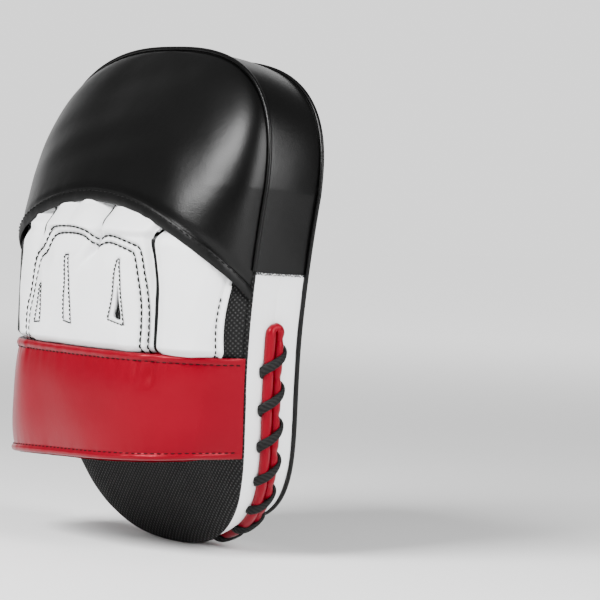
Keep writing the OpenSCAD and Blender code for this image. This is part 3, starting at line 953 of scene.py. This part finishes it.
def back_relief(m, z):
    """The back of the hand: a padded panel inside two stitched rows, and finger rolls above it."""
    outer = curve_through(PANEL_ROW, 2.0)
    inner = curve_through(PANEL_ROW_IN, 2.0)
    puff = 3.0 * smooth(inside(m, z, inner) / 14) ** 0.8
    rows = -1.1 * bell(polyline_distance(m, z, outer), 1.1) - 1.1 * bell(polyline_distance(m, z, inner), 1.1)
    above = smooth((z - 31) / 5)
    rolls = 3.4 * above
    for gap, pinch in FINGER_GAPS:
        leaning = m - gap - finger_drift(z)
        groove = 2.6 * np.exp(-np.abs(leaning) / 3.6) * smooth((z - 25) / 7) * pinch
        flank = bell(leaning, 7.0) * 3.0 * above * min(pinch, 1)
        dimple = 1.4 * bell(np.hypot(m - gap + 2, (z - 24) * 0.5), 4.5) * pinch
        rolls = rolls - groove - flank - dimple
    fold = polyline_distance(m, z, curve_through(FOLD, 1.0))
    crease = (0.8 * bell(fold - 5.5, 3.0) - 2.4 * bell(fold, 1.9)) * smooth((z - 9) / 14)
    vents = 0.0
    for points in VENTS.values():
        depth = inside(m, z, points)
        vents = vents - 0.7 * bell(depth, 0.9) - 0.8 * smooth(depth / 2)
    edges = -3.2 * bell(m - at_height(GAP_EDGE, z), 3.0) - 2.4 * bell(m - at_height(PINKY_EDGE, z), 2.8)
    slack = 0.55 * waves(m, z, 38, 0.3) + 0.22 * waves(m, z * 0.7, 15, 1.9)
    return puff + rows + rolls + crease + vents + edges + slack


def cut(obj, cutter):
    """Cuts a hole through a piece."""
    bpy.context.view_layer.objects.active = obj
    change = obj.modifiers.new("hole", "BOOLEAN")
    change.object = cutter
    change.operation = "DIFFERENCE"
    change.solver = "EXACT"
    bpy.ops.object.modifier_apply(modifier=change.name)
    bpy.data.objects.remove(cutter)


def make_back_of_hand():
    """The white panel over the fingers and knuckles, with the one vent that is open."""
    surface = glove_sheet(PINKY_EDGE, GAP_EDGE, back_relief)
    panel = shell("back_of_hand_leather", surface, 260, 210, 2.2, WHITE, sharp=70)
    ring = curve_through(VENT_HOLE, 1.0, closed=True)[:-1]
    n = len(ring)
    faces = [list(range(n)), list(range(2 * n - 1, n - 1, -1))]
    faces += [[i, i + n, (i + 1) % n + n, (i + 1) % n] for i in range(n)]
    ends = [hand(ring[:, 0], ring[:, 1], off) for off in (8.0, -8.0)]
    cut(panel, make_object("vent_cutter", np.vstack(ends), faces, WHITE))
    place(panel, "white_leather", "knuckle_panel")


def hand_row(name, points, length=3.1, pitch=3.4, r=0.45, closed=False, step=0.6):
    """Topstitching along a drawn line, where the hood and the strap leave it open."""
    line = straight(points, step) if closed else curve_through(points, step)
    seen = (line[:, 1] > STRAP_TOP - 2) & (line[:, 1] < hem_z(line[:, 0]) - HEM_H + 1)
    m, z = line[seen].T
    return stitches(name, *hand_line(m, z, back_relief(m, z) + 0.4), THREAD, length, pitch, r)


def finger_crease_shadow_line(gap):
    """A seam between two fingers as a solid dark line of thread: painted shade for the crease's shadow."""
    z = np.linspace(29, HEM_TOP + 4, 60)
    m = gap + finger_drift(z)
    thickness = 0.62 * smooth((z - 28.5) / 6)
    return sweep("finger_crease_shadow_line", *hand_line(m, z, back_relief(m, z) + 0.5), thickness, thickness, THREAD, 8)


def make_knuckle_stitches():
    # Besides the stitch rows, two solid dark lines lie in the creases between the fingers: painted shade for
    # the creases' shadow.
    rows = [hand_row("panel_row_out", PANEL_ROW),
            hand_row("panel_row_in", PANEL_ROW_IN),
            finger_crease_shadow_line(FINGER_GAPS[0][0]),
            finger_crease_shadow_line(FINGER_GAPS[2][0])]
    rows += [hand_row(name, points, 1.9, 2.2, 0.36, True, 0.4) for name, points in VENTS.items()]
    place(joined("knuckle_stitches_and_crease_shadows", rows), "thread")


def make_vent_mesh():
    """The patch of mesh behind the open vent."""
    def surface(U, V):
        m, z = 33 + 13 * U, -15 + 25 * V
        return hand(m, z, back_relief(m, z) * 0.4 - 1.6)
    place(shell("vent_mesh_patch", surface, 30, 50, 0.5, MESH), "black_mesh", "vent_mesh")


def thumb_relief(m, z):
    """Relief of the thumb's panel: a soft roll between a tucked edge and a stitched hem."""
    left, right = at_height(GAP_EDGE, z), at_height(THUMB_HEM, z)
    share = (m - left) / (right - left)
    puff = 3.0 * np.sin(math.pi * np.clip(share, 0, 1)) ** 0.8
    hem_line = -0.6 * bell(m - right + 3.6, 0.9) + 0.5 * smooth((m - right + 3.0) / 1.5)
    tucked = -3.0 * bell(m - left - 2.6, 3.0)
    folds = 0.45 * waves(m, z, 30, 2.4) + 0.2 * waves(m * 1.4, z * 0.5, 12, 0.9)
    return puff + hem_line + tucked + folds


def make_thumb_panel():
    surface = glove_sheet(moved(GAP_EDGE, 2.6), THUMB_HEM, thumb_relief)
    panel = shell("thumb_panel_leather", surface, 90, 150, 2.0, WHITE, sharp=70)
    place(panel, "white_leather", "thumb_panel")


def make_thumb_hem():
    """The thumb panel's rolled edge beside the mesh, and the stitches along it."""
    z = np.linspace(STRAP_TOP - 2, 4, 400)
    m = at_height(THUMB_HEM, z) - 3.6
    row = stitches("thumb_hem_stitches", *hand_line(m, z, thumb_relief(m, z) + 0.1), THREAD, 2.6, 3.3, 0.38)
    place(row, "thread")
    z = np.linspace(GLOVE_FOOT + 1, 10, 200)
    m = at_height(THUMB_HEM, z) - 0.6
    roll = sweep("thumb_hem_roll", *hand_line(m, z, thumb_relief(m, z) - 0.4), 1.2, 1.0, WHITE, 12)
    place(roll, "white_leather", "thumb_panel_hem")


def make_gap_strip():
    """A black strip down in the gap between the back of the hand and the thumb's panel."""
    surface = glove_sheet(moved(GAP_EDGE, -1.2), moved(GAP_EDGE, 3.4), lambda m, z: -3.4)
    place(shell("thumb_gap_strip", surface, 6, 120, 0.6, BLACK), "black_leather")


def foot_point(z, side, inset=1.2):
    """Where the mesh at the side of the hand meets the pad."""
    return np.stack([side * (half_width(z) - inset), back_y(z) - 0.6, z], -1)


def make_side_mesh():
    def surface(U, V):
        z = GLOVE_FOOT + (13 - GLOVE_FOOT) * V
        start = hand(at_height(THUMB_HEM, z) - 1.5, z, -1.0)
        p = start + (foot_point(z, 1) - start) * U[..., None]
        p[..., 1] -= 0.8 * np.sin(math.pi * U)
        return p
    place(shell("side_mesh_strip", surface, 16, 120, 0.8, MESH), "black_mesh", "side_mesh")


def make_pinky_side():
    def surface(U, V):
        m, z = between(upright(PINKY_FOOT + 3), moved(PINKY_EDGE, 0.5), 1 - U, V)
        p = hand(m, z, -1.2 + 1.0 * np.sin(math.pi * U))
        return p + (foot_point(z, -1, 3.0) - p) * smooth((U - 0.6) / 0.4)[..., None]
    side = shell("pinky_side_mesh", surface, 60, 120, 1.2, MESH, flip=True)
    place(side, "black_mesh", "pinky_side_panel")


def make_glove_lining():
    def slack(m, z):
        return -4.2 + 0.3 * waves(m, z, 25)
    surface = glove_sheet(upright(-76), upright(96), slack, 0.97, GLOVE_FOOT + 2)
    place(shell("glove_lining_cloth", surface, 120, 80, 0.9, LINING), "lining", "glove_lining")


def make_stall(finger, x, y, z0, z1, r, lean):
    """A finger stall: a soft sleeve with a rounded tip and slack creases."""
    length = z1 - z0

    def surface(U, V):
        a = 2 * math.pi * U
        along = length * V
        tip = np.clip((along - length + r) / r, 0, 0.995)
        rr = r * np.sqrt(1 - tip ** 2) * (1 + 0.03 * waves(a * r, along, 14, x))
        cx = x + rr * np.cos(a) * 1.04
        cy = y + rr * np.sin(a) * 0.96 + along * math.tan(math.radians(lean))
        return np.stack([cx, cy, z0 + along], -1)
    stall = shell(f"{finger}_finger_stall", surface, 48, 50, 0.9, WHITE, wrap=True)
    place(stall, "white_leather", f"{finger}_stall")


def make_stalls():
    for finger, x, tip in (("pinky", -49, 66), ("ring", -22, 77), ("middle", 5, 79), ("index", 32, 76)):
        make_stall(finger, x, -21.5, 37, tip, 12.2, 11)
    make_stall("thumb", 60, -14.5, -22, 30, 11.6, 0)


def make_palm():
    def surface(U, V):
        z = -60 + 90 * V
        soft = 0.7 * (1 - (2 * U - 1) ** 6) * (1 - (2 * V - 1) ** 6)
        return np.stack([-40 + 98 * U, back_y(z) - 1.9 - soft, z], -1)
    place(shell("palm_lining_cloth", surface, 60, 60, 0.9, BLACK_LINING), "black_lining", "palm_lining")


# ---------- the wrist strap ----------

def spline(points, t):
    """A uniform cubic B-spline over a few corners."""
    p = np.asarray(points, float)
    n = len(p) - 3
    k = np.clip(np.floor(t * n), 0, n - 1).astype(int)
    f = t * n - k
    b = [(1 - f) ** 3, 3 * f ** 3 - 6 * f ** 2 + 4, -3 * f ** 3 + 3 * f ** 2 + 3 * f + 1, f ** 3]
    return sum(b[i][..., None] / 6 * p[k + i] for i in range(4))


def ribbon(corners, t, off):
    """A place [x, y] on a spline seen from above, moved off to its outer side."""
    along = unit(spline(corners, t + 0.01) - spline(corners, t - 0.01))
    return spline(corners, t) + np.stack([-along[..., 1], along[..., 0]], -1) * off[..., None]


STRAP_CORNERS = [(HINGE[0] + 3, 18), (HINGE[0] - 1, -6), (HINGE[0] - 12, -32),
                 (HINGE[0] - 40, STRAP_CREST), (-6, STRAP_CREST - 1), (-42, STRAP_CREST - 1),
                 (STRAP_WALL + 18, -39), (STRAP_WALL, -22), (STRAP_WALL, -6), (STRAP_WALL, 4)]
TOP_ROW = 0.93
LOW_ROW = 0.065
FLARE = 11
PUCKER_AT = 62
SKIN_IN = 1.6


def strap_point(t, v, off):
    """A point of the strap: t from the thumb's seam to its free end, v up, raised by off."""
    t, v, off = np.broadcast_arrays(np.asarray(t, float), v, off)
    low = STRAP_LOW_THUMB + (STRAP_LOW - STRAP_LOW_THUMB) * t
    z = low + (STRAP_TOP - low) * v
    flat = ribbon(STRAP_CORNERS, t, off)
    flare = FLARE * v * (1 - smooth(t / 0.3))
    p = np.stack([flat[..., 0] + flare, flat[..., 1], z], -1)
    seam = np.stack([half_width(z) + 0.5, back_y(z) - 0.2 - 0.15 * off, z], -1)
    return seam + (p - seam) * smooth(t / 0.07)[..., None]


def strap_relief(t, v):
    """The strap's padding between its rolled edges, gathered along both stitch lines."""
    body = 2.2 * (1 - np.abs(np.clip((v - LOW_ROW) / (TOP_ROW - LOW_ROW), 0, 1) * 2 - 1) ** 3.2)
    top_roll = 1.5 * np.sin(math.pi * np.clip((v - TOP_ROW) / (1 - TOP_ROW), 0, 1)) ** 0.6
    low_roll = 1.7 * np.sin(math.pi * np.clip(v / LOW_ROW, 0, 1)) ** 0.6
    profile = np.where(v > TOP_ROW, top_roll, np.where(v < LOW_ROW, low_roll, body))
    run = t * 300
    near_rows = np.exp(-np.abs(v - TOP_ROW) * 13) + 0.45 * np.exp(-np.abs(v - LOW_ROW) * 16)
    pucker = run - PUCKER_AT
    gathers = waves(run, v * 10, 13, 0.4) * near_rows * (1 + 0.6 * bell(pucker, 16))
    upper = smooth((v - 0.62) / 0.25) * (v < TOP_ROW)
    fan = waves(run + 12 * (v - TOP_ROW), v * 18, 9, 2.2) * bell(pucker, 14) * upper
    dimple = -0.8 * bell(np.hypot(pucker + 3, (v - 0.82) * 55), 6.0)
    broad = 0.8 * waves(run, v * 50, 80, 1.2)
    return (0.85 * profile + 0.4 * gathers + 0.6 * fan + dimple + broad - 0.6) * smooth(t / 0.02)


def blend_over_seam(obj):
    """Bakes the piece's placement into its mesh."""
    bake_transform(obj)


def make_strap():
    """The padded red strap, whose two faces meet at its edges and at its free end."""
    def surface(U, V):
        t = STRAP_END * (1 - U)
        return strap_point(t, V, strap_relief(t, V) - SKIN_IN)

    def thick(U, V):
        border = np.minimum(np.minimum(V, 1 - V) / 0.05, (1 - U) / 0.06)
        return 1.8 + (STRAP_T - 2 * SKIN_IN) * np.sqrt(np.clip(border, 0, 1))
    strap = shell("wrist_strap_leather", surface, 420, 110, thick, RED)
    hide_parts("strap_shell", "strap_padding", "strap_hem_top", "strap_hem_bottom", "strap_anchor")
    blend_over_seam(strap)


def make_strap_stitches():
    t = np.linspace(0.02, STRAP_END - 0.01, 900)
    rows = []
    for name, row_v in (("top", TOP_ROW), ("low", LOW_ROW)):
        v = np.full_like(t, row_v)
        lift = strap_relief(t, v) - SKIN_IN
        path = strap_point(t, v, lift + 0.1)
        out = strap_point(t, v, lift + 1.0) - path
        rows.append(stitches(f"strap_row_{name}", path, out, THREAD, 2.6, 3.5, 0.3))
    row = joined("strap_stitches", rows)
    blend_over_seam(row)


def make_strap_inside():
    """The lining on the strap's inner side, and its patch of hooks at the free end."""
    def lining(U, V):
        return strap_point(0.06 + (STRAP_END - 0.1) * (1 - U), 0.08 + 0.84 * V, -STRAP_T + 0.1)

    def hooks(U, V):
        return strap_point(0.79 + 0.15 * (1 - U), 0.16 + 0.68 * V, -STRAP_T - 0.5)
    cloth = shell("strap_lining_cloth", lining, 160, 40, 0.7, BLACK_LINING)
    place(cloth, "black_lining", "strap_lining", body="wrist_strap")
    tape = shell("strap_hook_tape", hooks, 40, 40, 0.8, HOOK)
    place(tape, "hook_loop", "strap_hook_patch", body="wrist_strap")


TAB_CORNERS = [(-30, 0), (-46, 0), (-62, 0), (-72, 0), (-71.5, -11), (-68, -21), (-61, -31)]


def tab_point(t, v, off=0.0):
    """A point of the closure's tab: t from its root on the pad's back to its free end, v up."""
    t, v, off = np.broadcast_arrays(np.asarray(t, float), v, off)
    flat = ribbon(TAB_CORNERS, t, off)
    z = STRAP_LOW + 12 + (STRAP_TOP - STRAP_LOW - 18) * v
    on_back = np.clip(1 + spline(TAB_CORNERS, t)[..., 1] / 12, 0, 1)
    return np.stack([flat[..., 0], flat[..., 1] + (back_y(z) - 2.0) * on_back, z], -1)


def make_tab():
    def leather_side(U, V):
        return tab_point(0.99 * U + 0.005, V)

    def loop_side(U, V):
        return tab_point(0.66 + 0.33 * U, 0.08 + 0.84 * V, -0.9)
    place(shell("strap_tab_leather", leather_side, 80, 40, LEATHER_T, BLACK), "black_leather", "strap_tab")
    place(shell("strap_loop_tape", loop_side, 40, 30, 0.7, HOOK), "hook_loop", "strap_loop_patch")


# ---------- the scene, in metres ----------

VIEW = math.radians(54.4)
CAMERA_DISTANCE = 1.6
FRAME_WIDTH = 0.318
SENSOR = 36
FLOOR_REACH = 6.0


def direction(azimuth, elevation):
    """The way from the mitt at an azimuth from its back and an elevation, in radians."""
    level_part = math.cos(elevation)
    return Vector((math.sin(azimuth) * level_part, -math.cos(azimuth) * level_part, math.sin(elevation)))


def stand(name, data, where, aim):
    """A camera or lamp that stands somewhere and looks toward aim."""
    obj = in_scene(name, data)
    obj.location = where
    obj.rotation_euler = (aim - obj.location).to_track_quat("-Z", "Y").to_euler()
    return obj


def make_camera():
    """A long lens that looks at the mitt's back from its thumb side, with the mitt left of the middle."""
    back = direction(VIEW, math.radians(2.2))
    right = Vector((math.cos(VIEW), math.sin(VIEW), 0))
    aim = right * 0.0816 + back.cross(right) * 0.0016
    lens = bpy.data.cameras.new("camera")
    lens.sensor_width = SENSOR
    lens.lens = SENSOR * CAMERA_DISTANCE / FRAME_WIDTH
    camera = stand("camera", lens, back * CAMERA_DISTANCE, aim)
    camera.rotation_euler.rotate_axis("Z", math.radians(3.0))
    bpy.context.scene.camera = camera


def rise_to_backdrop(tree, coords, start, end, low, high):
    """A value that rises from low to high with the reach of coords toward the backdrop."""
    reach = tree.nodes.new("ShaderNodeVectorMath")
    reach.operation = "DOT_PRODUCT"
    reach.inputs[1].default_value = (-math.sin(VIEW), math.cos(VIEW), 0)
    rise = tree.nodes.new("ShaderNodeMapRange")
    rise.interpolation_type = "SMOOTHSTEP"
    for socket, value in (("From Min", start), ("From Max", end), ("To Min", low), ("To Max", high)):
        rise.inputs[socket].default_value = value
    tree.links.new(coords, reach.inputs[0])
    tree.links.new(reach.outputs["Value"], rise.inputs["Value"])
    return rise.outputs["Result"]


def make_floor():
    """A pale sheet of paper with a painted glow that gets brighter toward the backdrop."""
    n = Nodes("floor_paper")
    n.feed("Base Color", n.ramp(n.noise(3, 2), (0.3, 0.86), (0.7, 0.88)))
    n.set("Roughness", 0.9)
    # Painted light: the paper glows white, more and more toward the backdrop, though it is no lamp.
    n.set("Emission Color", (1, 1, 1, 1))
    n.feed("Emission Strength", rise_to_backdrop(n.tree, n.place.outputs["Object"], 0.3, 2.6, 0.0, 1.2))
    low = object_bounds()[0][2]
    corners = [(x * FLOOR_REACH, y * FLOOR_REACH, low) for x, y in ((-1, -1), (1, -1), (1, 1), (-1, 1))]
    mesh = bpy.data.meshes.new("floor")
    mesh.from_pydata(corners, [], [(0, 1, 2, 3)])
    mesh.materials.append(n.material)
    in_scene("floor", mesh)


def make_light(name, azimuth, elevation, distance, size, power):
    """A soft box that looks at the mitt."""
    lamp = bpy.data.lights.new(name, "AREA")
    lamp.shape = "RECTANGLE"
    lamp.size, lamp.size_y = size
    lamp.energy = power
    where = direction(math.radians(azimuth), math.radians(elevation)) * distance
    stand(name, lamp, where, Vector((0, 0, 0)))


def make_world():
    """A dim room with a bright backdrop behind the mitt, and two soft boxes."""
    world = bpy.data.worlds.new("studio")
    world.use_nodes = True
    tree = world.node_tree
    coords = tree.nodes.new("ShaderNodeTexCoord").outputs["Generated"]
    background = tree.nodes["Background"]
    tree.links.new(rise_to_backdrop(tree, coords, 0.7, 0.95, 0.22, 1.5), background.inputs["Strength"])
    background.inputs["Color"].default_value = (1, 1, 1, 1)
    bpy.context.scene.world = world
    make_light("key", 8, 40, 1.4, (0.6, 0.7), 50)
    make_light("side", 104, 22, 1.3, (0.7, 0.9), 24)


for node, material in FOAMS.items():
    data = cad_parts[node].data
    data.materials.clear()
    data.materials.append(material)

make_face()
make_dot()
make_face_stitching()
make_gussets()
make_piping()
make_back_panel()
make_welt(edge_share(SLIT_Z))
make_lace(edge_share(SLIT_Z))
make_hood()
make_hood_hem()
make_back_of_hand()
make_knuckle_stitches()
make_vent_mesh()
make_thumb_panel()
make_thumb_hem()
make_gap_strip()
make_side_mesh()
make_pinky_side()
make_glove_lining()
make_stalls()
make_palm()
make_strap()
make_strap_stitches()
make_strap_inside()
make_tab()
make_camera()
make_floor()
make_world()
